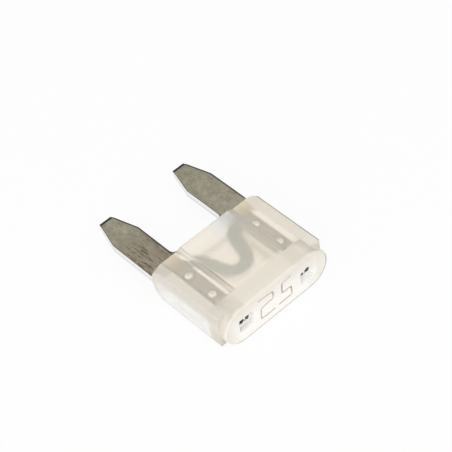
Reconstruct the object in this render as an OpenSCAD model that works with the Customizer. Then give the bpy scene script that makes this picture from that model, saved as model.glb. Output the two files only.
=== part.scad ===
// Miniature automotive blade fuse: a clear moulded housing over a one-piece stamped zinc element.
// Lengths are in millimetres. The fuse lies flat on its lower window, with its blades towards +Y.

/* [Housing] */
// Width of the body, across both blades
body_w = 11; // [10.8:0.1:12.5]
// Length of the body, from the head face to the top of its curved nose
body_l = 8.75; // [8.4:0.05:10]
// Thickness over the windows and the head
body_t = 3.8; // [3.5:0.1:4.6]
// Thickness over the low rails that lie on the terminals
rail_t = 3.32; // [2.8:0.04:3.4]
// Radius of the curve that the nose makes from one broad face to the other
nose_r = 3; // [2.6:0.1:6]
// Radius of the nose's corners on the broad faces
corner_r = 0.85; // [0.4:0.05:1]
// Radius of the curve that those corners make between the broad faces
corner_bow_r = 2.3; // [2:0.1:3]
// Radius along the body's long edges
edge_r = 0.1; // [0.05:0.05:0.4]

/* [Head] */
// Length of the round-ended head bar, up to where the rails begin
head_l = 1.8; // [1.2:0.05:1.9]
// How far the head stands out beyond the square body
head_reveal = 0.75; // [0.3:0.05:1]
// How far each round end of the head lies inside the body's side
head_inset = 0; // [0:0.05:0.4]
// Radius of the edge round the head face
head_edge_r = 0.1; // [0.05:0.05:0.4]

/* [Windows] */
// Width of the flat top of each raised window
window_w = 5.1; // [4.4:0.1:5.4]
// Sideways run of the window's sloping side walls
window_slope = 0.6; // [0.2:0.1:0.7]
// Thickness of the plastic over the link
window_wall = 0.6; // [0.4:0.05:0.8]
// Width of the chamber that the link hangs in
chamber_w = 5.5; // [5:0.1:5.9]
// Distance of the chamber's closed end from the head face
chamber_setback = 1.95; // [1.5:0.05:2.4]

/* [Blades] */
// Distance between the blades' centre lines
blade_pitch = 8.1; // [8:0.05:8.3]
// Width of each blade
blade_w = 2.75; // [2.5:0.05:2.9]
// Thickness of the sheet that the element is stamped from
blade_t = 0.65; // [0.5:0.05:0.9]
// Length of each blade from its inner shoulder to its tip
blade_l = 7; // [6:0.05:9]
// Length of the tapered stretch at the tip
taper_l = 2.73; // [1.5:0.01:3.5]
// Width of the tip
tip_w = 1.2; // [0.8:0.1:2]
// Length of the coined lead-in on both faces of the tip
lead_l = 0.4; // [0.2:0.1:0.8]
// Depth of the coined lead-in on each face
lead_d = 0.12; // [0.05:0.01:0.2]
// Radius where a blade's inner edge turns into its shoulder
root_r = 0.45; // [0.2:0.05:0.7]

/* [Terminals] */
// How far each inner shoulder stands out beyond the nose
shoulder_rise = 0.55; // [0.3:0.05:1]
// How far each inner shoulder reaches past the blade's inner edge
shoulder_reach = 0.4; // [0.3:0.05:0.6]
// Radius of the shoulder's inner corner
shoulder_r = 0.1; // [0.05:0.05:0.2]
// Distance between the outer edges of the two terminals, inside the housing
terminal_span = 8.5; // [8.2:0.05:8.9]
// Width of each terminal at its head end
terminal_w = 1.35; // [1.25:0.05:1.6]
// How far past the blade's inner edge the centre of each upper bend of the link lies
link_land = 0.2; // [0.1:0.05:0.3]
// Distance of each terminal's full width from the head face
terminal_setback = 2.15; // [1.9:0.05:2.4]
// Width of the test tab at each terminal's head end
tab_w = 1.1; // [0.8:0.05:1.2]
// Distance between the test tabs' centre lines
tab_pitch = 6.6; // [6.5:0.05:6.9]
// Distance of the tabs' ends from the head face
tab_setback = 0.4; // [0.2:0.05:0.8]
// Gap between the element and the slots that it slides into
fit_gap = 0.06; // [0.02:0.01:0.1]

/* [Link] */
// Width of the fuse link
link_w = 1.15; // [0.6:0.05:1.3]
// Radius of the centre line of the link's lower bend
low_bend_r = 1.2; // [0.9:0.05:1.3]
// Radius of the centre line of the link's two upper bends
top_bend_r = 0.75; // [0.7:0.05:0.85]
// Distance of the bottom of the link's centre line from the head face
link_low = 3.95; // [3.6:0.05:4.2]
// Distance of the link's ends from the head face
link_top = 7.2; // [6.9:0.05:7.4]

/* [Stakes] */
// Distance between the two rows of stakes
stake_pitch = 7.3; // [7.1:0.05:7.4]
// Distance of the first stake of each row from the head face
stake_first = 3.45; // [3:0.05:3.8]
// Distance between the two stakes of a row
stake_step = 2.75; // [2:0.05:3]
// Diameter of the plastic plug that fills each terminal's hole
stake_d = 0.6; // [0.4:0.05:0.7]
// Diameter of the punched dimple above each plug
dimple_d = 0.62; // [0.4:0.02:0.8]
// Depth of the dimples
dimple_depth = 0.7; // [0.3:0.05:0.8]

/* [Test openings] */
// Width of the opening over each test tab
probe_w = 1.5; // [1.3:0.1:1.7]
// Height of the opening over each test tab
probe_h = 1.4; // [1:0.1:1.8]
// Corner radius of the test openings
probe_r = 0.15; // [0.05:0.05:0.3]

/* [Hidden] */
$fn = 64;
// Overlap that joins or cuts cleanly
eps = 0.05;

// Distances from the head face along the fuse
shoulder_y = body_l + shoulder_rise;
total_l = shoulder_y + blade_l;
taper_y = total_l - taper_l;
outer_shoulder_y = body_l + fit_gap;
window_end = nose_at(rail_t / 2) - eps / 2;

// Distances from the centre line across the fuse
blade_x = blade_pitch / 2;
blade_in = blade_x - blade_w / 2;
blade_out = blade_x + blade_w / 2;
shoulder_in = blade_in - shoulder_reach;
link_x = blade_in - link_land;
terminal_out = terminal_span / 2;
terminal_in = terminal_out - terminal_w;
tab_x = tab_pitch / 2;
stake_x = stake_pitch / 2;

// Sizes that follow from others
head_r = body_t / 2;
head_x = body_w / 2 - head_inset - head_r;
rail_wall = window_wall;
chamber_top_w = window_w - window_wall;
slot_t = blade_t + 2 * fit_gap;
hole_d = stake_d + 2 * fit_gap;

// The link's legs are the straight line that touches its lower bend and an upper bend
low_y = link_low + low_bend_r;
top_y = link_top - top_bend_r;
bend_gap = norm([link_x, top_y - low_y]);
lean = atan2(link_x, top_y - low_y) - asin((low_bend_r + top_bend_r) / bend_gap);

// How far the nose reaches at a height above or below the middle
function nose_at(z) = body_l - nose_r + sqrt(nose_r ^ 2 - z ^ 2);

// Moves the model from the head face and the middle plane to its resting place
module laid_flat() {
    translate([0, -total_l / 2, body_t / 2]) children();
}

// Both sides of something that is drawn on the +X side
module both_sides() {
    children();
    mirror([1, 0, 0]) children();
}

// Extrudes a shape drawn in X and Z along +Y, from one distance to another
module along_y(from, to) {
    translate([0, to, 0]) rotate([90, 0, 0]) linear_extrude(to - from) children();
}

// Extrudes a shape drawn in Y and Z along X, centred
module along_x(width) {
    rotate([90, 0, 90]) linear_extrude(width, center = true) children();
}

// Rectangle with round corners, centred
module rounded_rect(w, h, r) {
    square([w - 2 * r, h], center = true);
    square([w, h - 2 * r], center = true);
    for (x = [-1, 1], y = [-1, 1])
        translate([x * (w / 2 - r), y * (h / 2 - r)]) circle(r);
}

// What is cut from the nose's +X corner: more near the broad faces than in the middle
module corner_cut() {
    reach = 2 * corner_r;
    translate([body_w / 2 - corner_r, nose_at(rail_t / 2) - corner_r, 0]) difference() {
        translate([0, 0, -rail_t / 2 - eps]) cube([reach, reach, rail_t + 2 * eps]);
        rotate_extrude() intersection() {
            translate([corner_r - sqrt(corner_bow_r ^ 2 - (rail_t / 2) ^ 2), 0]) circle(corner_bow_r);
            translate([0, -body_t / 2]) square([2 * reach, body_t]);
        }
    }
}

// Square body with a curved nose, at the thickness of the rails
module plate() {
    difference() {
        intersection() {
            along_x(body_w + 2 * eps) union() {
                translate([head_reveal, -rail_t / 2])
                    square([window_end - head_reveal, rail_t]);
                intersection() {
                    translate([body_l - nose_r, 0]) circle(nose_r, $fn = 128);
                    translate([body_l / 2, -rail_t / 2]) square([body_l, rail_t]);
                }
            }
            along_y(head_reveal - eps, body_l + eps) rounded_rect(body_w, rail_t, edge_r);
        }
        both_sides() corner_cut();
    }
}

// Raised band with sloping sides that forms the window on both broad faces
module windows() {
    top = window_w / 2;
    foot = top + window_slope;
    along_y(head_reveal, window_end) polygon([
        [-top, -body_t / 2], [top, -body_t / 2], [foot, -rail_t / 2], [foot, rail_t / 2],
        [top, body_t / 2], [-top, body_t / 2], [-foot, rail_t / 2], [-foot, -rail_t / 2]
    ]);
}

// Half of the head bar's side profile: distance from the middle against distance from the head face
module head_profile() {
    translate([0, head_edge_r]) square([head_r, head_l - head_edge_r]);
    square([head_r - head_edge_r, head_l]);
    translate([head_r - head_edge_r, head_edge_r]) circle(head_edge_r);
}

// Bar with round ends and a rounded edge that carries the rating and the test openings
module head() {
    both_sides() translate([head_x, 0, 0]) rotate([-90, 0, 0]) rotate_extrude() head_profile();
    rotate([90, 0, 90]) linear_extrude(2 * head_x, center = true) {
        rotate(90) mirror([0, 1]) head_profile();
        mirror([0, 1]) rotate(90) mirror([0, 1]) head_profile();
    }
}

// Space round the link, open at the nose where the element goes in
module chamber() {
    top = chamber_top_w / 2;
    side = chamber_w / 2;
    roof = body_t / 2 - window_wall;
    eave = rail_t / 2 - rail_wall;
    along_y(chamber_setback, body_l + eps) polygon([
        [-top, -roof], [top, -roof], [side, -eave], [side, eave],
        [top, roof], [-top, roof], [-side, eave], [-side, -eave]
    ]);
}

// Flat slot that one terminal and its test tab slide into
module terminal_slot() {
    slot_out = terminal_out + fit_gap;
    slot_end = terminal_setback - fit_gap;
    linear_extrude(slot_t, center = true) {
        translate([link_x, slot_end]) square([slot_out - link_x, body_l + eps - slot_end]);
        translate([tab_x - tab_w / 2 - fit_gap, tab_setback - fit_gap])
            square([tab_w + 2 * fit_gap, terminal_setback]);
    }
}

// Opening in the head face that lets a test probe reach the tab
module test_opening() {
    translate([tab_x, 0, 0]) along_y(-eps, tab_setback + eps) rounded_rect(probe_w, probe_h, probe_r);
}

// Places its children at both stakes of the +X row
module at_stakes() {
    for (y = [stake_first, stake_first + stake_step]) translate([stake_x, y, 0]) children();
}

// Dimples that the stakes leave in the rails of both faces
module dimples() {
    for (face = [0, 1]) mirror([0, 0, face]) translate([0, 0, rail_t / 2 - dimple_depth])
        cylinder(h = dimple_depth + eps, d1 = dimple_d / 3, d2 = dimple_d);
}

// Clear moulded shell, staked through the terminals
module housing() {
    color([0.94, 0.92, 0.86, 0.6]) laid_flat() {
        difference() {
            union() {
                plate();
                windows();
                head();
            }
            chamber();
            both_sides() {
                terminal_slot();
                test_opening();
                at_stakes() dimples();
            }
        }
        both_sides() at_stakes() cylinder(h = slot_t + eps, d = stake_d, center = true);
    }
}

// Points along an arc, from one angle to another
function arc(x, y, r, from, to, steps = 12) =
    [for (k = [0:steps]) let (a = from + (to - from) * k / steps) [x + r * cos(a), y + r * sin(a)]];

// Half of the link, on the +X side: along its outer edge to the terminal and back along its inner edge
module half_link() {
    half_w = link_w / 2;
    link_end = terminal_out - link_w;
    polygon(concat(
        arc(0, low_y, low_bend_r + half_w, -90, -lean),
        arc(link_x, top_y, top_bend_r - half_w, 180 - lean, 90),
        [[link_end, link_top - half_w], [link_end, link_top + half_w]],
        arc(link_x, top_y, top_bend_r + half_w, 90, 180 - lean),
        arc(0, low_y, low_bend_r - half_w, -lean, -90)
    ));
}

// Outline of the +X blade with its shoulder
module blade_outline() {
    polygon([
        [blade_in, outer_shoulder_y], [blade_out, outer_shoulder_y], [blade_out, taper_y],
        [blade_x + tip_w / 2, total_l], [blade_x - tip_w / 2, total_l], [blade_in, taper_y]
    ]);
    difference() {
        translate([blade_in - root_r, shoulder_y - eps]) square([root_r + eps, root_r + eps]);
        translate([blade_in - root_r, shoulder_y + root_r]) circle(root_r);
    }
}

// Outline of the +X terminal, from the shoulder to the test tab
module terminal_outline() {
    corner = shoulder_in + shoulder_r;
    polygon([
        [shoulder_in, shoulder_y - shoulder_r], [corner, shoulder_y - shoulder_r],
        [corner, shoulder_y], [terminal_out, shoulder_y], [terminal_out, terminal_setback],
        [terminal_in, terminal_setback], [terminal_in, outer_shoulder_y], [shoulder_in, outer_shoulder_y]
    ]);
    translate([corner, shoulder_y - shoulder_r]) circle(shoulder_r);
    translate([tab_x - tab_w / 2, tab_setback]) square([tab_w, terminal_setback + eps - tab_setback]);
}

// Coined lead-in, cut from both faces of both tips
module lead_in() {
    for (face = [0, 1]) mirror([0, 0, face]) along_x(body_w) polygon([
        [total_l - lead_l, blade_t / 2], [total_l + eps, blade_t / 2 - lead_d],
        [total_l + eps, blade_t / 2 + eps], [total_l - lead_l, blade_t / 2 + eps]
    ]);
}

// Gives an outline the thickness of the sheet
module stamped() {
    linear_extrude(blade_t, center = true) children();
}

// Blades, terminals and link, stamped in one piece
module fuse_element() {
    color([0.6, 0.58, 0.52]) laid_flat() difference() {
        both_sides() {
            stamped() blade_outline();
            stamped() terminal_outline();
            stamped() half_link();
        }
        both_sides() at_stakes() cylinder(h = blade_t + 2 * eps, d = hole_d, center = true);
        lead_in();
    }
}

housing();
fuse_element();
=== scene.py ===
import math

import bmesh
import bpy
from mathutils import Matrix, Vector


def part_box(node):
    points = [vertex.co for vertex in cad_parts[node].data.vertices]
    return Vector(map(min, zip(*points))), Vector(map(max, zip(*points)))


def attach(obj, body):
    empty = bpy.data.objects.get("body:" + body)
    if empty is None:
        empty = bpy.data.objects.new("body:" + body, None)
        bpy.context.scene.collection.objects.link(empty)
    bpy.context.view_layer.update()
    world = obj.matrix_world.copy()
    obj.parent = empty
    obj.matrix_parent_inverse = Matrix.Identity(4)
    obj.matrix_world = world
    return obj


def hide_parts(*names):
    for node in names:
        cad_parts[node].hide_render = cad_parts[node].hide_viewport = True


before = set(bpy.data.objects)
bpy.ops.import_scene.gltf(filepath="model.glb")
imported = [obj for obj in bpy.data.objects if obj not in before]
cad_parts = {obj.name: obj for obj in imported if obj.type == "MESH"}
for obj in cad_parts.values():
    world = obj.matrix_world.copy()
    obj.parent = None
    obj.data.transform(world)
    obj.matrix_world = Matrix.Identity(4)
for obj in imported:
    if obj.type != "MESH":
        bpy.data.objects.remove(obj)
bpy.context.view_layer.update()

# What comes straight from the frame is in metres. All other sizes and places are in millimetres: across from
# the middle (x), along from the head face (y) and up from the middle of the thickness (z). The near side is
# the one at -X, and the far side the one at +X.
MM = 0.001
HOUSING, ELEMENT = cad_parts["housing"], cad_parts["fuse_element"]
LOW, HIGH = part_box("housing")
HEAD_Y = LOW.y
MID_Z = 0.5 * (LOW.z + HIGH.z)
HALF_W, HALF_T, LENGTH = HIGH.x / MM, (HIGH.z - MID_Z) / MM, (HIGH.y - HEAD_Y) / MM
HEAD_L = 1.8

# Raised window: from the middle to the top and to the foot of its slopes, where the slopes end, and the
# least and greatest x of their normals
SLOPE_TOP, SLOPE_FOOT, SLOPE_END = 2.55, 3.15, 7.9
SLOPE_TILT = 0.3, 0.45

# Blades: distance from the middle, width, width of the tip and length of the taper
BLADE_X, BLADE_W, TIP_W, TAPER_L = 4.05, 2.75, 1.2, 2.73
TIP_Y = (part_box("fuse_element")[1].y - HEAD_Y) / MM
TAPER_Y = TIP_Y - TAPER_L

# Stakes: where they are, and the radius and the heights between which their upper dimples' faces lie
STAKE_X, STAKE_Y = 3.65, (3.45, 6.2)
DIMPLE_R, DIMPLE_LOW, DIMPLE_HIGH = 0.33, 0.9, 1.65

# Numerals on the head face: the points (x, z) of each one's stroke, and the stroke's width and depth
STROKES = [
    [(-1.86, 1.22), (-0.40, 1.11), (-0.38, 0.34), (-1.75, 0.18), (-1.82, -0.99), (-0.41, -1.0)],
    [(1.46, 1.24), (0.61, 1.14), (0.51, 0.03), (1.48, 0.08), (1.54, -0.91), (0.14, -0.93)],
]
STROKE_W, STROKE_DEPTH, STROKE_CORNER = 0.17, 0.14, 0.22
# A stroke's cutter: how far it stands out of the face, and its half width there and at its floor, as shares
# of the stroke's width
CUTTER_OUT, CUTTER_TOP, CUTTER_FLOOR = 0.06, 0.62, 0.28

# Rooms in the housing and the field of the rating, each a little larger than it is: across, along, and half
# the height
CHAMBER = (0.0, 2.8), (1.9, 20.0), 1.33
SLOT = (2.4, 4.33), (0.3, 8.7), 0.4
OPENING = (2.5, 4.1), (0.01, HEAD_L), 0.72
RATING = (0.0, 2.1), (-1.0, STROKE_DEPTH + 0.02), 1.5

# Meshes: points closer than WELD metres are one, faces that turn by less than FLAT degrees are one plane,
# and edges that turn by less than SMOOTH degrees are shaded smoothly
WELD, FLAT, SMOOTH = 1e-4 * MM, 0.4, 32

# Colours of the zinc sheet: its dull faces and what marks them, the link, the painted shade round the stakes
# and the painted dark reflection on the rolled rim, the sheared sides, and the painted glints in the test
# openings
ZINC_DARK, ZINC_LIGHT = (0.46, 0.42, 0.31), (0.64, 0.595, 0.47)
WORN, STREAK, SCRATCH, PIT = (0.42, 0.33, 0.25), (0.10, 0.08, 0.06), (0.20, 0.175, 0.13), (0.09, 0.08, 0.06)
LINK, STAKE_DIMPLE_SHADE, RIM_DARK_REFLECTION = (0.34, 0.43, 0.43), (0.2, 0.17, 0.13), (0.085, 0.077, 0.077)
SHEAR_DARK, SHEAR_LIGHT, SHEAR_LOW = (0.80, 0.80, 0.79), (0.97, 0.97, 0.96), (0.45, 0.45, 0.46)
PAINTED_GLINT_DARK, PAINTED_GLINT_LIGHT = (0.03, 0.03, 0.03), (0.95, 0.95, 0.95)

# Tints of the plastic: amber where the terminals enter, tan over the head with painted shade at its near end
# and painted light at its far end, painted shade along the near side and tan along the far side, and haze in
# the window
AMBER = (0.93, 0.76, 0.42)
HEAD_TAN, NEAR_HEAD_SHADE, FAR_HEAD_LIGHT = (0.84, 0.785, 0.675), (0.69, 0.645, 0.55), (0.93, 0.89, 0.83)
NEAR_SIDE_SHADE, FAR_TAN = (0.72, 0.675, 0.59), (0.86, 0.79, 0.67)
HAZE = (0.78, 0.84, 0.87)
# Its painted dark reflections along edges, the painted highlight at the slopes' foot and the painted shade
# lines on the near slope, the nose below the upper window, and the upper part and near end of the head face
EDGE_DARK_REFLECTION, FOOT_HIGHLIGHT, SLOPE_SHADE_LINE = (0.36, 0.35, 0.34), (1.0, 0.97, 0.89), (0.42, 0.37, 0.32)
LOW_NOSE, HEAD_FACE = (0.80, 0.74, 0.65), (0.78, 0.725, 0.645)

# How milky the window is, from 0 for clear to 1, and how much is added at the head, the ends and the nose
WINDOW_MILK, HEAD_MILK, END_MILK, NOSE_MILK = 0.46, 0.42, 0.34, 0.26

# Finishes of the housing: milkiness (None where it goes by place), roughness, index of refraction, darker
# and lighter shade, and the share of the tan tints and of the painted shade and light where it isn't 1
MOULDED = {
    "body": (None, 0.2, 1.5, (0.95, 0.885, 0.77), (0.98, 0.925, 0.82)),
    "slope": (0.72, 0.14, 1.5, (0.86, 0.81, 0.73), (0.90, 0.85, 0.77)),
    # The near slope: darker than the far one, as painted shade against the key lamp's light on it
    "near_slope": (0.56, 0.1, 1.25, (0.77, 0.705, 0.61), (0.81, 0.745, 0.65)),
    "head": (0.88, 0.22, 1.5, (0.88, 0.83, 0.73), (0.92, 0.87, 0.78)),
    "front": (0.93, 0.2, 1.5, (0.95, 0.92, 0.865), (0.97, 0.945, 0.90), 0.0),
    "side": (0.8, 0.2, 1.5, (0.91, 0.895, 0.87), (0.93, 0.915, 0.89)),
    # Walls of the test openings: near white, as painted light against the shade in them
    "mouth": (0.9, 0.3, 1.5, (1.0, 0.99, 0.97), (1.0, 1.0, 0.98), 0.0),
    "under": (0.03, 0.2, 1.5, (0.97, 0.91, 0.81), (1.0, 0.95, 0.87)),
    # Dark eased edges along the silhouette: a painted dark reflection
    "edge": (0.8, 0.2, 1.5, (0.26, 0.25, 0.24), (0.33, 0.32, 0.30)),
    "roof": (0.0, 0.3, 1.5, (0.94, 0.87, 0.76), (0.97, 0.92, 0.83)),
    "inner": (0.0, 0.2, 1.04, (0.94, 0.87, 0.76), (0.97, 0.92, 0.83)),
    # The numerals' grooves: darker, as painted shade in them
    "rating": (0.5, 0.3, 1.4, (0.62, 0.57, 0.49), (0.7, 0.65, 0.57)),
}
FINISH_NAMES = list(MOULDED)


# Node materials

class Nodes:
    """Short ways to fill an emptied node tree."""

    def __init__(self, tree):
        self.tree = tree
        tree.nodes.clear()

    def add(self, kind, inputs=None, **settings):
        """A new node with its settings and inputs."""
        node = self.tree.nodes.new("ShaderNode" + kind)
        for key, value in settings.items():
            setattr(node, key, value)
        for key, value in (inputs or {}).items():
            self.put(node.inputs[key], value)
        return node

    def put(self, socket, value):
        """Links a socket to an output, or sets it to a constant."""
        if isinstance(value, bpy.types.NodeSocket):
            self.tree.links.new(value, socket)
        elif isinstance(value, (tuple, list)) and len(value) == 3 and len(socket.default_value) == 4:
            socket.default_value = (*value, 1.0)
        else:
            socket.default_value = value

    def math(self, operation, a, b=0.0, clamp=False):
        """One step of arithmetic on a, or on a and b."""
        return self.add("Math", {0: a, 1: b}, operation=operation, use_clamp=clamp).outputs[0]

    def distance(self, a, b):
        """How far a point is from the origin, from its two coordinates."""
        squares = self.math("ADD", self.math("MULTIPLY", a, a), self.math("MULTIPLY", b, b))
        return self.math("SQRT", squares)

    def mix(self, factor, a, b):
        """The colour a, or b where the factor is 1."""
        node = self.add("Mix", data_type="RGBA")
        self.put(node.inputs[0], factor)
        self.put(node.inputs[6], a)
        self.put(node.inputs[7], b)
        return node.outputs[2]

    def tint(self, colour, where, share, other):
        """The colour, with a share of the other one mixed in where the mask is 1."""
        return self.mix(self.math("MULTIPLY", where, share), colour, other)

    def ramp(self, value, stops):
        """A curve of greys through (position, grey) pairs."""
        node = self.add("ValToRGB", {0: value})
        ramp = node.color_ramp
        while len(ramp.elements) < len(stops):
            ramp.elements.new(0.5)
        for element, (position, grey) in zip(ramp.elements, stops):
            element.position = position
            element.color = (grey, grey, grey, 1)
        return node.outputs[0]

    def step(self, value, low, high):
        """From 0 at low to 1 at high, smoothly; low may be the larger one."""
        return self.add("MapRange", {0: value, 1: low, 2: high}, interpolation_type="SMOOTHSTEP").outputs[0]

    def scaled(self, value, low, high):
        """From low where the value is 0 to high where it is 1."""
        return self.add("MapRange", {0: value, 3: low, 4: high}).outputs[0]

    def within(self, value, low, high, soft):
        """1 between low and high, fading to 0 over the soft distance outside."""
        return self.math("MULTIPLY", self.step(value, low - soft, low), self.step(value, high + soft, high))

    def noise(self, vector, scale, detail, rough, stretch=None):
        """Noise between 0 and 1, finer along an axis whose stretch is larger."""
        if stretch:
            vector = self.add("Mapping", {"Vector": vector, "Scale": stretch}).outputs[0]
        return self.add("TexNoise", {"Vector": vector, "Scale": scale, "Detail": detail,
                                     "Roughness": rough}).outputs[0]

    def bump(self, height, strength, distance):
        """A normal for relief that is up to the given distance high, in metres."""
        return self.add("Bump", {"Height": height, "Strength": strength, "Distance": distance}).outputs[0]

    def place(self):
        """The point's position on the part, in millimetres."""
        coord = self.add("TexCoord").outputs["Object"]
        shifted = self.add("VectorMath", {0: coord, 1: (0, -HEAD_Y, -MID_Z)}, operation="ADD").outputs[0]
        return self.add("VectorMath", {0: shifted, "Scale": 1 / MM}, operation="SCALE").outputs[0]

    def axes(self, vector):
        """A vector's three parts."""
        return self.add("SeparateXYZ", {0: vector}).outputs[:]

    def finish(self, output, shader):
        """Links the shader to the tree's new output node."""
        self.tree.links.new(shader, self.add(output).inputs["Surface"])


def new_material(name):
    """A new material and its emptied nodes."""
    mat = bpy.data.materials.new(name)
    mat.use_nodes = True
    return mat, Nodes(mat.node_tree)


# The zinc sheet

def rolled_face(n, at, x, y):
    """The broad faces' colour and relief: mottled, scratched and pitted, and most worn on the near blade."""
    colour = n.mix(n.step(n.noise(at, 1.4, 5, 0.6), 0.3, 0.75), ZINC_DARK, ZINC_LIGHT)
    # Wear is on the near blade and grows towards the housing
    worn = n.math("MULTIPLY", n.step(x, -1.0, -3.0), n.step(y, 14.2, 11.5))
    colour = n.tint(colour, worn, 0.45, WORN)
    streaks = n.noise(at, 1.0, 8, 0.75, (8.0, 0.8, 1.0))
    colour = n.tint(colour, n.step(streaks, 0.5, 0.62), n.scaled(worn, 0.25, 0.95), STREAK)
    fine = n.noise(at, 1.0, 3, 0.6, (24.0, 1.1, 1.0))
    colour = n.tint(colour, n.step(fine, 0.52, 0.72), 0.45, SCRATCH)
    pits = n.step(n.noise(at, 6.0, 2, 0.5), 0.62, 0.7)
    colour = n.tint(colour, pits, n.noise(at, 0.9, 1, 0.5), PIT)
    relief = n.math("ADD", n.math("MULTIPLY", fine, 0.5), n.math("MULTIPLY", streaks, 0.6))
    return colour, relief


def link_and_stake_shade(n, colour, x, y):
    """The colour, with the link's bluish grey and a painted dark ring of dimple shade round each stake."""
    beside = n.math("ABSOLUTE", x)
    colour = n.mix(n.math("MULTIPLY", n.step(beside, 3.1, 2.4), n.step(y, 8.2, 7.6)), colour, LINK)
    for stake_y in STAKE_Y:
        reach = n.distance(n.math("SUBTRACT", beside, STAKE_X), n.math("SUBTRACT", y, stake_y))
        # Painted shade of a dimple, as a dark ring round the stake
        colour = n.tint(colour, n.within(reach, 0.3, 0.5, 0.08), 0.8, STAKE_DIMPLE_SHADE)
    return colour


def blade_rim_dark_reflection(n, x, y):
    """1 where a blade's rolled rim has a painted dark reflection: wide on its far side, thin on its near
    side, and at the coined tip.
    """
    from_middle = n.math("SUBTRACT", n.math("ABSOLUTE", x), BLADE_X)
    from_middle = n.math("MULTIPLY", from_middle, n.math("SIGN", x))
    half_width = n.add("MapRange", {0: y, 1: TAPER_Y, 2: TIP_Y, 3: 0.5 * BLADE_W, 4: 0.5 * TIP_W}).outputs[0]
    far = n.step(n.math("SUBTRACT", from_middle, half_width), -0.2, -0.08)
    near = n.step(n.math("ADD", from_middle, half_width), 0.1, 0.02)
    tip = n.step(y, TIP_Y - 0.32, TIP_Y - 0.24)
    rim = n.math("MAXIMUM", far, n.math("MULTIPLY", near, 0.7))
    beyond_housing = n.step(y, LENGTH + 0.45, LENGTH + 0.85)
    return n.math("MULTIPLY", n.math("MAXIMUM", rim, tip), beyond_housing)


def sheared_side(n, at, y, z):
    """The bright sheared sides' colour, darker below, with painted dark reflections and bright glints in the
    test openings.
    """
    colour = n.mix(n.noise(at, 1.0, 4, 0.7, (9.0, 9.0, 1.2)), SHEAR_DARK, SHEAR_LIGHT)
    colour = n.tint(colour, n.step(z, -0.14, -0.24), 0.6, SHEAR_LOW)
    # Painted dark reflections and bright glints on the tabs' ends in the test openings
    painted_glint = n.mix(n.step(n.noise(at, 3.2, 2, 0.5), 0.5, 0.56), PAINTED_GLINT_DARK, PAINTED_GLINT_LIGHT)
    return n.mix(n.step(y, 0.6, 0.5), colour, painted_glint)


def zinc():
    """Zinc sheet: dull scratched faces with a painted dark reflection on the rolled rims and coined tips,
    and bright sheared sides.
    """
    mat, n = new_material("zinc")
    at = n.place()
    x, y, z = n.axes(at)
    plain, relief = rolled_face(n, at, x, y)
    plain = link_and_stake_shade(n, plain, x, y)
    # A painted dark reflection on the blades' rolled rims and coined tips
    plain = n.tint(plain, blade_rim_dark_reflection(n, x, y), 0.92, RIM_DARK_REFLECTION)
    turned_up = n.math("ABSOLUTE", n.axes(n.add("TexCoord").outputs["Normal"])[2])
    face = n.step(turned_up, 0.2, 0.45)
    colour = n.mix(face, sheared_side(n, at, y, z), plain)
    shader = n.add("BsdfPrincipled", {"Base Color": colour, "Metallic": 1.0,
                                      "Roughness": n.scaled(face, 0.3, 0.42),
                                      "Normal": n.bump(relief, 0.25, 0.00003)})
    n.finish("OutputMaterial", shader.outputs[0])
    return mat


# The milky clear plastic

def cloudiness(n, x, y):
    """How milky the broad faces are: least over the window, more at the head, both ends and the nose."""
    head = n.math("MULTIPLY", n.step(y, HEAD_L + 0.5, HEAD_L - 0.15), HEAD_MILK)
    ends = n.math("MAXIMUM", n.step(x, 4.0, 4.6), n.step(x, -4.4, -4.8))
    ends = n.math("MULTIPLY", ends, END_MILK)
    nose = n.math("MULTIPLY", n.step(y, 6.6, 8.3), NOSE_MILK)
    most = n.math("MAXIMUM", n.math("MAXIMUM", head, ends), nose)
    return n.math("ADD", most, WINDOW_MILK)


def tinted(n, colour, x, y, z, tan_and_shading_share):
    """The colour, with amber at the terminals, a light brown tint at the head and the far side, painted
    shade at the head's near end and along the near side, painted light at the head's far end, and haze in
    the window.
    """
    entry = n.math("MULTIPLY", n.within(y, 7.5, 8.4, 0.9), n.within(n.math("ABSOLUTE", x), 3.4, 4.2, 0.5))
    colour = n.tint(colour, entry, 0.38, AMBER)
    # The head's tan, with painted shade at its near end and painted light at its far end
    head_tan_shade_and_light = n.mix(n.step(x, -3.4, -4.6), HEAD_TAN, NEAR_HEAD_SHADE)
    head_tan_shade_and_light = n.mix(n.step(x, 4.0, 4.8), head_tan_shade_and_light, FAR_HEAD_LIGHT)
    head = n.math("MULTIPLY", n.step(y, HEAD_L + 0.4, HEAD_L - 0.2), n.step(y, 0.1, 0.3))
    colour = n.tint(colour, head, tan_and_shading_share, head_tan_shade_and_light)
    far = n.math("MULTIPLY", n.step(x, 4.1, 4.6), n.step(y, 8.6, 7.6))
    colour = n.tint(colour, far, 0.5, FAR_TAN)
    # Painted shade along the near side, deeper higher up
    near = n.math("MULTIPLY", n.step(x, -4.3, -4.6), n.step(z, -0.9, 1.3))
    colour = n.tint(colour, near, 0.8 * tan_and_shading_share, NEAR_SIDE_SHADE)
    haze = n.math("MULTIPLY", n.within(x, 0.9, 2.1, 1.0), n.step(y, 6.0, 7.6))
    return n.tint(colour, haze, 0.45, HAZE)


def on_head_face(n, y):
    """1 on the head face and 0 behind it."""
    return n.step(y, 0.12, 0.06)


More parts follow.
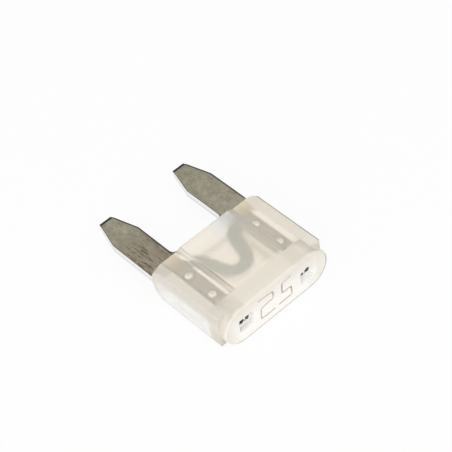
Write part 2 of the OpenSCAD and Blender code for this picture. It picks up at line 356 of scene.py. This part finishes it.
def edge_dark_reflections(n, x, y, z):
    """1 on thin painted dark reflections along edges: the far and nose edges, low on the near side, and
    round the lower head face.
    """
    edge = n.math("MAXIMUM", n.step(x, HALF_W - 0.17, HALF_W - 0.13), n.step(y, LENGTH - 0.24, LENGTH - 0.2))
    edge = n.math("MULTIPLY", edge, n.step(z, 1.5, 1.6))
    past_flat = n.math("MAXIMUM", n.math("SUBTRACT", n.math("ABSOLUTE", x), HALF_W - HALF_T), 0.0)
    ring = n.step(n.distance(past_flat, z), HALF_T - 0.2, HALF_T - 0.15)
    ring = n.math("MULTIPLY", ring, on_head_face(n, y))
    ring = n.math("MULTIPLY", ring, n.step(x, -4.9, -4.0))
    ring = n.math("MULTIPLY", ring, n.step(z, 0.9, 0.3))
    low = n.math("MULTIPLY", n.step(x, 0.2 - HALF_W, 0.1 - HALF_W), n.within(z, -1.56, -1.5, 0.04))
    return n.math("MAXIMUM", n.math("MAXIMUM", edge, ring), n.math("MULTIPLY", low, 0.7))


def painted_slope_lines(n, colour, x, y, z):
    """The colour, with a thin painted highlight at the foot of each slope and two painted dark shade lines
    on the near slope.
    """
    above = n.math("MULTIPLY", n.step(z, 1.58, 1.64), n.within(y, HEAD_L + 0.1, SLOPE_END, 0.2))
    foot = n.within(n.math("ABSOLUTE", x), SLOPE_FOOT - 0.06, SLOPE_FOOT - 0.02, 0.03)
    # A painted highlight along each slope's foot
    colour = n.tint(colour, n.math("MULTIPLY", foot, above), 0.6, FOOT_HIGHLIGHT)
    # Two painted dark shade lines on the near slope
    upper = n.within(x, -SLOPE_TOP - 0.11, -SLOPE_TOP - 0.05, 0.03)
    lower = n.within(x, -SLOPE_TOP - 0.39, -SLOPE_TOP - 0.35, 0.03)
    dark = n.math("MULTIPLY", n.math("MAXIMUM", upper, lower), above)
    return n.tint(colour, dark, 0.4, SLOPE_SHADE_LINE)


def plastic(name, milky, rough, index, darker, lighter, tan_and_shading_share=1.0):
    """Milky clear moulded plastic between two warm shades, with the tints of its places and painted lines of
    light and shade.
    """
    mat, n = new_material(name)
    at = n.place()
    x, y, z = n.axes(at)
    colour = n.mix(n.noise(at, 0.7, 3, 0.5), darker, lighter)
    colour = tinted(n, colour, x, y, z, tan_and_shading_share)
    # Thin painted dark reflections along edges
    colour = n.tint(colour, edge_dark_reflections(n, x, y, z), 0.75, EDGE_DARK_REFLECTION)
    colour = painted_slope_lines(n, colour, x, y, z)
    low_nose = n.math("MULTIPLY", n.step(y, 8.08, 8.12), n.step(z, 1.5, 1.4))
    colour = n.tint(colour, low_nose, 0.8, LOW_NOSE)
    high_or_near = n.math("MAXIMUM", n.step(z, -0.2, 1.8), n.step(x, -4.0, -5.4))
    colour = n.tint(colour, n.math("MULTIPLY", high_or_near, on_head_face(n, y)), 0.7, HEAD_FACE)
    clear = n.math("SUBTRACT", 1.0, cloudiness(n, x, y)) if milky is None else 1 - milky
    ripple = n.bump(n.noise(at, 2.2, 2, 0.4), 0.12, 0.00002)
    shader = n.add("BsdfPrincipled", {"Base Color": colour, "Roughness": rough, "IOR": index,
                                      "Transmission Weight": clear, "Normal": ripple})
    n.finish("OutputMaterial", shader.outputs[0])
    return mat


# The numerals

def round_corners(points, radius, steps=5):
    """The same stroke with each corner turned into a short curve."""
    out = [points[0]]
    for before, corner, after in zip(points, points[1:], points[2:]):
        a = corner + (before - corner).normalized() * radius
        b = corner + (after - corner).normalized() * radius
        for k in range(steps + 1):
            s = k / steps
            out.append((1 - s) ** 2 * a + 2 * s * (1 - s) * corner + s * s * b)
    return out + [points[-1]]


def groove(points):
    """A closed strip along one numeral's stroke, wider at the head face than at its floor."""
    line = round_corners([Vector((x, z)) for x, z in points], STROKE_CORNER)
    last = len(line) - 1
    form = bmesh.new()
    rings = []
    for k, at in enumerate(line):
        ahead = (line[min(k + 1, last)] - line[max(k - 1, 0)]).normalized()
        side = Vector((-ahead.y, ahead.x))
        # The two ends reach half a width further
        grow = ahead * (STROKE_W / 2) * ((k == last) - (k == 0))
        ring = []
        for half, y in ((STROKE_W * CUTTER_TOP, -CUTTER_OUT), (STROKE_W * CUTTER_FLOOR, STROKE_DEPTH)):
            for sign in (1, -1):
                spot = at + side * half * sign + grow
                ring.append(form.verts.new((spot.x * MM, HEAD_Y + y * MM, MID_Z + spot.y * MM)))
        rings.append([ring[0], ring[1], ring[3], ring[2]])
    for a, b in zip(rings, rings[1:]):
        for i in range(4):
            form.faces.new((a[i], a[(i + 1) % 4], b[(i + 1) % 4], b[i]))
    form.faces.new(rings[0][::-1])
    form.faces.new(rings[-1])
    bmesh.ops.recalc_face_normals(form, faces=form.faces)
    mesh = bpy.data.meshes.new("groove")
    close_form(form, mesh)
    return bpy.data.objects.new("groove", mesh)


# Work on a piece's mesh

def open_form(mesh):
    """A mesh opened for editing."""
    form = bmesh.new()
    form.from_mesh(mesh)
    return form


def close_form(form, mesh):
    """Writes an edited form to a mesh."""
    form.to_mesh(mesh)
    form.free()


def join_flat(form):
    """Makes one face of those that lie in one plane."""
    bmesh.ops.dissolve_limit(form, angle_limit=math.radians(FLAT), verts=form.verts, edges=form.edges,
                             use_dissolve_boundaries=False)


def joined_copy(node, name):
    """A copy of a CAD node as one closed mesh with whole flat faces."""
    form = open_form(node.data)
    bmesh.ops.remove_doubles(form, verts=form.verts, dist=WELD)
    join_flat(form)
    mesh = bpy.data.meshes.new(name)
    close_form(form, mesh)
    copy = bpy.data.objects.new(name, mesh)
    bpy.context.collection.objects.link(copy)
    return copy


def fill_dimples(body):
    """Closes the upper mouth of each stake's dimple, which the photograph doesn't show."""
    form = open_form(body.data)
    inside = []
    for face in form.faces:
        at = face.calc_center_median() / MM
        for y in STAKE_Y:
            reach = math.hypot(abs(at.x) - STAKE_X, at.y - HEAD_Y / MM - y)
            if reach < DIMPLE_R and DIMPLE_LOW < at.z - MID_Z / MM < DIMPLE_HIGH:
                inside.append(face)
    bmesh.ops.delete(form, geom=inside, context="FACES")
    bmesh.ops.holes_fill(form, edges=[e for e in form.edges if e.is_boundary], sides=0)
    join_flat(form)
    close_form(form, body.data)


def carve(body, cutters):
    """Cuts the cutters from the body and deletes them."""
    for cutter in cutters:
        bpy.context.collection.objects.link(cutter)
        cut = body.modifiers.new("cut", "BOOLEAN")
        cut.object = cutter
        cut.operation = "DIFFERENCE"
        cut.solver = "EXACT"
    bpy.context.view_layer.update()
    mesh = bpy.data.meshes.new_from_object(body.evaluated_get(bpy.context.evaluated_depsgraph_get()))
    body.modifiers.clear()
    body.data = mesh
    for cutter in cutters:
        bpy.data.objects.remove(cutter)


def split_at(body, y):
    """Cuts the faces in two at y, without a gap, so that each side has its own finish."""
    form = open_form(body.data)
    bmesh.ops.bisect_plane(form, geom=form.verts[:] + form.edges[:] + form.faces[:], dist=WELD,
                           plane_co=(0, HEAD_Y + y * MM, 0), plane_no=(0, 1, 0))
    close_form(form, body.data)


def ease(body, width, segments, sharp, wanted, finish=None):
    """Rounds the wanted edges that turn by more than sharp degrees, and shades the piece smoothly."""
    form = open_form(body.data)
    edges = [e for e in form.edges if len(e.link_faces) == 2 and e.calc_face_angle() > math.radians(sharp)
             and wanted(e)]
    made = bmesh.ops.bevel(form, geom=edges, offset=width * MM, offset_type="OFFSET", segments=segments,
                           profile=0.5, affect="EDGES", clamp_overlap=True, material=-1)
    for face in made["faces"]:
        if finish:
            face.material_index = finish(face)
    for face in form.faces:
        face.smooth = True
    for edge in form.edges:
        edge.smooth = len(edge.link_faces) == 2 and edge.calc_face_angle() < math.radians(SMOOTH)
    close_form(form, body.data)
    even = body.modifiers.new("even", "WEIGHTED_NORMAL")
    even.keep_sharp = True
    even.weight = 80


# Which finish goes where on the housing

def is_in(room, x, y, z):
    """Whether a point is in a room or its mirror image, from its distances to the middle planes."""
    (x_low, x_high), (y_low, y_high), z_high = room
    return x_low <= x < x_high and y_low < y < y_high and z < z_high


def zone(at, normal):
    """The name of the finish that a face of the housing has."""
    x, y, z = abs(at.x), at.y - HEAD_Y / MM, abs(at.z - MID_Z / MM)
    faces_along = abs(normal.y) > 0.9
    beside_stroke = y < 0.005 and faces_along
    if is_in(RATING, x, y, z) and not beside_stroke:
        return "rating"
    if is_in(OPENING, x, y, z) and not faces_along:
        return "mouth"
    nose_face = faces_along and y > 8
    if is_in(SLOT, x, y, z) or (is_in(CHAMBER, x, y, z) and not nose_face):
        return "roof" if abs(normal.z) > 0.7 else "inner"
    if y < 0.5 and normal.y < -0.5:
        return "front"
    if y < HEAD_L and z < HALF_T - 0.05:
        return "head"
    if abs(normal.x) > 0.9:
        return "side"
    if normal.z < -0.7:
        return "under"
    if SLOPE_TILT[0] < abs(normal.x) < SLOPE_TILT[1] and x < SLOPE_FOOT + 0.05:
        return "slope" if normal.x > 0 else "near_slope"
    return "body"


def outside(edge):
    """Whether an edge is on the outside and isn't just a line between strips of the head's round ends."""
    a, b = edge.verts[0].co / MM, edge.verts[1].co / MM
    lengthwise = abs(b.y - a.y) > 0.5 * (b - a).length
    at_head = max(a.y, b.y) - HEAD_Y / MM < 1
    round_end = lengthwise and at_head and 0.5 * abs(a.x + b.x) > 3.5
    return not round_end and zone(0.5 * (a + b), Vector((0, 0, 0))) in ("body", "head")


def eased_zone(face):
    """The finish's number for an eased edge: the dark one, a painted dark reflection, along the silhouette,
    and else as beside it.
    """
    at = face.calc_center_median() / MM
    y, z = at.y - HEAD_Y / MM, at.z - MID_Z / MM
    on_side = abs(at.x) > HALF_W - 0.2
    low_at_face = y < 0.1 and z < 0
    near_slope_top = abs(at.x + SLOPE_TOP) < 0.1 and HEAD_L + 0.05 < y < SLOPE_END and z > HALF_T - 0.1
    name = "edge" if on_side or low_at_face or near_slope_top else zone(at, face.normal)
    return FINISH_NAMES.index(name)


# The two visible pieces

def dress(piece, node, finishes):
    """Gives a piece its materials and puts it in its node's place."""
    for mat in finishes:
        piece.data.materials.append(mat)
    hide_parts(node)
    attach(piece, "root")


def moulded_housing(finishes):
    """The housing with closed upper dimples, the rating in its head face and eased edges."""
    shell = joined_copy(HOUSING, "moulded_housing")
    fill_dimples(shell)
    carve(shell, [groove(points) for points in STROKES])
    split_at(shell, HEAD_L)
    for face in shell.data.polygons:
        face.material_index = FINISH_NAMES.index(zone(face.center / MM, face.normal))
    ease(shell, width=0.06, segments=2, sharp=18, wanted=outside, finish=eased_zone)
    dress(shell, "housing", finishes)


def stamped_element(metal):
    """The fuse element with all its edges eased."""
    sheet = joined_copy(ELEMENT, "stamped_element")
    ease(sheet, width=0.13, segments=3, sharp=40, wanted=lambda edge: True)
    dress(sheet, "fuse_element", [metal])


# Floor, light and camera

def add_floor():
    """A floor that looks white to the camera, in metal and through plastic, and keeps a faint shadow."""
    floor = bpy.data.objects.new("floor", bpy.data.meshes.new("floor"))
    form = bmesh.new()
    bmesh.ops.create_grid(form, x_segments=1, y_segments=1, size=0.6)
    close_form(form, floor.data)
    bpy.context.collection.objects.link(floor)
    mat, n = new_material("floor")
    diffuse = n.add("BsdfDiffuse", {"Color": (0.9, 0.9, 0.9)})
    glow = n.add("Emission", {"Color": (1.0, 1.0, 1.0), "Strength": 1.0})
    path = n.add("LightPath")
    seen = n.math("ADD", path.outputs["Is Camera Ray"], path.outputs["Is Glossy Ray"], clamp=True)
    seen = n.math("ADD", seen, path.outputs["Is Transmission Ray"], clamp=True)
    glow_share = n.math("MULTIPLY", seen, 0.92)
    both = n.add("MixShader", {0: glow_share, 1: diffuse.outputs[0], 2: glow.outputs[0]})
    n.finish("OutputMaterial", both.outputs[0])
    floor.data.materials.append(mat)


def light_world():
    """Soft grey light that is darker low down behind the part, and a background that looks white."""
    world = bpy.data.worlds.new("studio")
    bpy.context.scene.world = world
    world.use_nodes = True
    n = Nodes(world.node_tree)
    white = n.add("Background", {"Color": (1.0, 1.0, 1.0), "Strength": 1.0})
    direction = n.add("TexCoord").outputs["Generated"]
    height = n.axes(direction)[2]
    # How far a direction points the way in which the camera looks across the floor
    away = n.add("VectorMath", {0: direction, 1: (0.59, 0.81, 0)}, operation="DOT_PRODUCT").outputs["Value"]
    near_side = n.ramp(height, [(0.0, 0.8), (0.5, 0.85), (1.0, 0.8)])
    far_side = n.ramp(height, [(0.0, 0.06), (0.35, 0.1), (0.62, 0.5), (0.76, 0.72), (1.0, 0.8)])
    light = n.mix(n.step(away, -0.2, 0.35), near_side, far_side)
    soft = n.add("Background", {"Color": light, "Strength": 1.0})
    path = n.add("LightPath")
    seen = n.math("ADD", path.outputs["Is Camera Ray"], path.outputs["Is Transmission Ray"], clamp=True)
    both = n.add("MixShader", {0: seen, 1: soft.outputs[0], 2: white.outputs[0]})
    n.finish("OutputWorld", both.outputs[0])


def add_lamp(name, place, size, power):
    """A square lamp that shines on the part; its place and size are in metres and its power in watts."""
    light = bpy.data.lights.new(name, "AREA")
    light.shape = "SQUARE"
    light.size = size
    light.energy = power
    lamp = bpy.data.objects.new(name, light)
    bpy.context.collection.objects.link(lamp)
    lamp.location = place
    lamp.rotation_euler = (-Vector(place)).to_track_quat("-Z", "Y").to_euler()


def add_camera():
    """The photograph's camera, from its solved angles, distance and focal length."""
    azimuth, elevation, roll = (math.radians(angle) for angle in (-36.1, 47.8, -9.1))
    across, above, distance = 1.398 * MM, 1.587 * MM, 129.7 * MM
    aim = Vector((0, -0.15 * MM, 1.9 * MM))
    # Both in pixels of the photograph
    focal_length, photo_width = 1606.8, 452
    back = Vector((math.sin(azimuth) * math.cos(elevation), -math.cos(azimuth) * math.cos(elevation),
                   math.sin(elevation)))
    flat = Vector((math.cos(azimuth), math.sin(azimuth), 0))
    rise = back.cross(flat)
    right = math.cos(roll) * flat + math.sin(roll) * rise
    up = math.cos(roll) * rise - math.sin(roll) * flat
    data = bpy.data.cameras.new("camera")
    data.sensor_width = 36.0
    data.lens = focal_length * data.sensor_width / photo_width
    data.clip_start = 0.005
    camera = bpy.data.objects.new("camera", data)
    bpy.context.collection.objects.link(camera)
    turn = Matrix((right, up, back)).transposed().to_4x4()
    camera.matrix_world = Matrix.Translation(aim + back * distance + right * across + up * above) @ turn
    bpy.context.scene.camera = camera


METAL = zinc()
FINISHES = {name: plastic(name + "_plastic", *values) for name, values in MOULDED.items()}
# The CAD nodes carry the plain materials of the pieces that replace them
for node, mat in ((ELEMENT, METAL), (HOUSING, FINISHES["body"])):
    node.data.materials.clear()
    node.data.materials.append(mat)

moulded_housing(FINISHES.values())
stamped_element(METAL)

add_floor()
light_world()
add_lamp("key", (-0.145, -0.11, 0.08), size=0.10, power=0.125)
add_lamp("top", (-0.04, -0.04, 0.2), size=0.14, power=0.07)
add_camera()

bpy.context.scene.view_settings.view_transform = "Standard"
